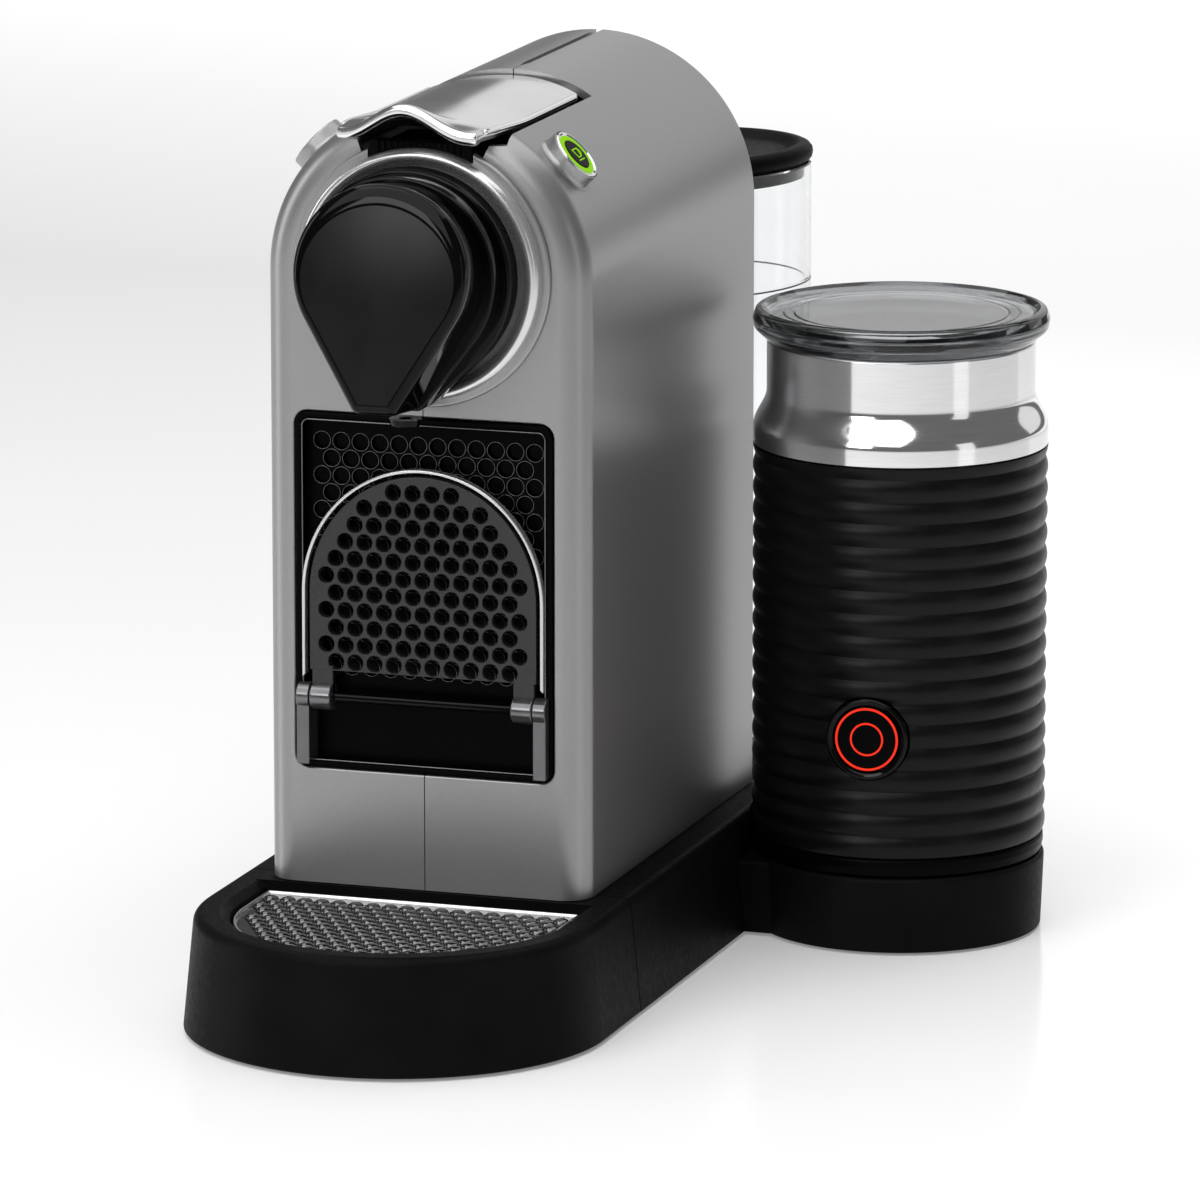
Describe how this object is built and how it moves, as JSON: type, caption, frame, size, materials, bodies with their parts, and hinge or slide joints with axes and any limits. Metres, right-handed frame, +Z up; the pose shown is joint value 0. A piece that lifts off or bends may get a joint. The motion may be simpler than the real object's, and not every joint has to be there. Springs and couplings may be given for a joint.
{
  "type": "pod coffee machine",
  "caption": "Narrow pod coffee machine with an arched body, loading lever, folding cup support, drip tray, rear water tank and a lift-off milk frother on its own station.",
  "frame": {"origin": "centre of the footprint's bounding box, on the surface that the machine stands on", "axes": "+Z up, -Y the machine's front (where the coffee comes out), +Y towards the water tank, +X towards the milk frother"},
  "size_m": [0.2182, 0.3616, 0.282],
  "materials": {
    "silver": "satin fine-grained silver",
    "black": "matte moulded black",
    "gloss_black": "polished piano black",
    "dark_grey": "semi-gloss dark grey",
    "chrome": "polished",
    "steel": "plain",
    "polished_steel": "polished",
    "rubber": "matte",
    "grey_plastic": "moulded",
    "clear_plastic": "clear moulded",
    "smoky_plastic": "smoky clear moulded",
    "ribbed_black": "satin black, ribbed",
    "board": "circuit board",
    "green_ring": "black cap with a lit green ring",
    "red_ring": "black cap with lit red rings"
  },
  "bodies": {
    "machine": {"base_housing": "black", "base_plate": "black", "foot_front_left": "rubber", "foot_front_right": "rubber", "foot_rear_left": "rubber", "foot_rear_right": "rubber", "foot_frother": "rubber", "base_screw_front_left": "steel", "base_screw_front_right": "steel", "base_screw_rear_left": "steel", "base_screw_rear_right": "steel", "cord_gland": "rubber", "housing_left": "silver", "housing_right": "silver", "rear_cover": "black", "button_rim_left": "chrome", "button_rim_right": "chrome", "head_ring": "chrome", "head_core": "gloss_black", "head_cover": "gloss_black", "outlet_spout": "gloss_black", "throat_block": "black", "brew_frame": "grey_plastic", "lever_pin": "steel", "inner_frame": "grey_plastic", "pump": "steel", "pump_mount_lower": "rubber", "pump_mount_upper": "rubber", "thermoblock": "steel", "flow_meter": "black", "control_board": "board", "suction_hose": "rubber", "pressure_hose": "clear_plastic", "tank_dock": "black", "dock_seal": "rubber", "frother_dock": "gloss_black"},
    "loading_lever": {"lever": "chrome", "lever_arms": "steel"},
    "piston": {"brew_piston": "steel"},
    "capsule_drawer": {"capsule_container": "black", "pocket_panel": "gloss_black", "cup_support_pin": "steel"},
    "cup_rest": {"cup_support": "dark_grey", "cup_support_rim": "chrome"},
    "drip_drawer": {"drip_tray": "black"},
    "drip_grate": {"drip_grid": "chrome"},
    "button_left": {"coffee_button_left": "green_ring"},
    "button_right": {"coffee_button_right": "green_ring"},
    "tank": {"water_tank": "clear_plastic", "tank_valve": "black"},
    "tank_cover": {"tank_lid": "black"},
    "jug": {"jug_bottom": "gloss_black", "jug_sleeve": "ribbed_black", "jug_vessel": "polished_steel", "frother_motor": "steel", "jug_button_bezel": "gloss_black"},
    "jug_key": {"jug_button": "red_ring"},
    "jug_cover": {"jug_lid": "smoky_plastic", "jug_lid_seal": "rubber"},
    "whisk": {"whisk": "steel"}
  },
  "joints": [
    {"name": "lever_lift", "type": "hinge", "parent": "machine", "child": "loading_lever", "pos_m": [-0.0438, -0.0165, 0.266], "axis": [-1, 0, 0], "range_deg": [0, 80]},
    {"name": "piston_travel", "type": "slide", "parent": "machine", "child": "piston", "axis": [0, 1, 0], "range_m": [0, 0.0285]},
    {"name": "drawer_pull", "type": "slide", "parent": "machine", "child": "capsule_drawer", "axis": [0, -1, 0], "range_m": [0, 0.15]},
    {"name": "cup_rest_fold", "type": "hinge", "parent": "capsule_drawer", "child": "cup_rest", "pos_m": [-0.0438, -0.0919, 0.0953], "axis": [1, 0, 0], "range_deg": [0, 90]},
    {"name": "drip_pull", "type": "slide", "parent": "machine", "child": "drip_drawer", "axis": [0, -1, 0], "range_m": [0, 0.15]},
    {"name": "grate_lift", "type": "slide", "parent": "drip_drawer", "child": "drip_grate", "axis": [0, 0, 1], "range_m": [0, 0.035]},
    {"name": "button_left_press", "type": "slide", "parent": "machine", "child": "button_left", "axis": [0.749, 0, -0.6626], "range_m": [0, 0.001], "stiffness_N_per_m": 400, "springref_m": -0.001},
    {"name": "button_right_press", "type": "slide", "parent": "machine", "child": "button_right", "axis": [-0.749, 0, -0.6626], "range_m": [0, 0.001], "stiffness_N_per_m": 400, "springref_m": -0.001},
    {"name": "tank_lift", "type": "slide", "parent": "machine", "child": "tank", "axis": [0, 0, 1], "range_m": [0, 0.2]},
    {"name": "tank_cover_lift", "type": "slide", "parent": "tank", "child": "tank_cover", "axis": [0, 0, 1], "range_m": [0, 0.08]},
    {"name": "jug_lift", "type": "slide", "parent": "machine", "child": "jug", "axis": [0, 0, 1], "range_m": [0, 0.15]},
    {"name": "jug_key_press", "type": "slide", "parent": "jug", "child": "jug_key", "axis": [-0.0698, 0.9976, 0], "range_m": [0, 0.0008], "stiffness_N_per_m": 400, "springref_m": -0.001},
    {"name": "jug_cover_lift", "type": "slide", "parent": "jug", "child": "jug_cover", "axis": [0, 0, 1], "range_m": [0, 0.08]},
    {"name": "whisk_spin", "type": "hinge", "parent": "jug", "child": "whisk", "pos_m": [0.0624, 0.0595, 0.076], "axis": [0, 0, 1], "continuous": true}
  ],
  "couplings": [
    {"joint": "piston_travel", "follows": "lever_lift", "m_per_rad": 0.0202}
  ]
}
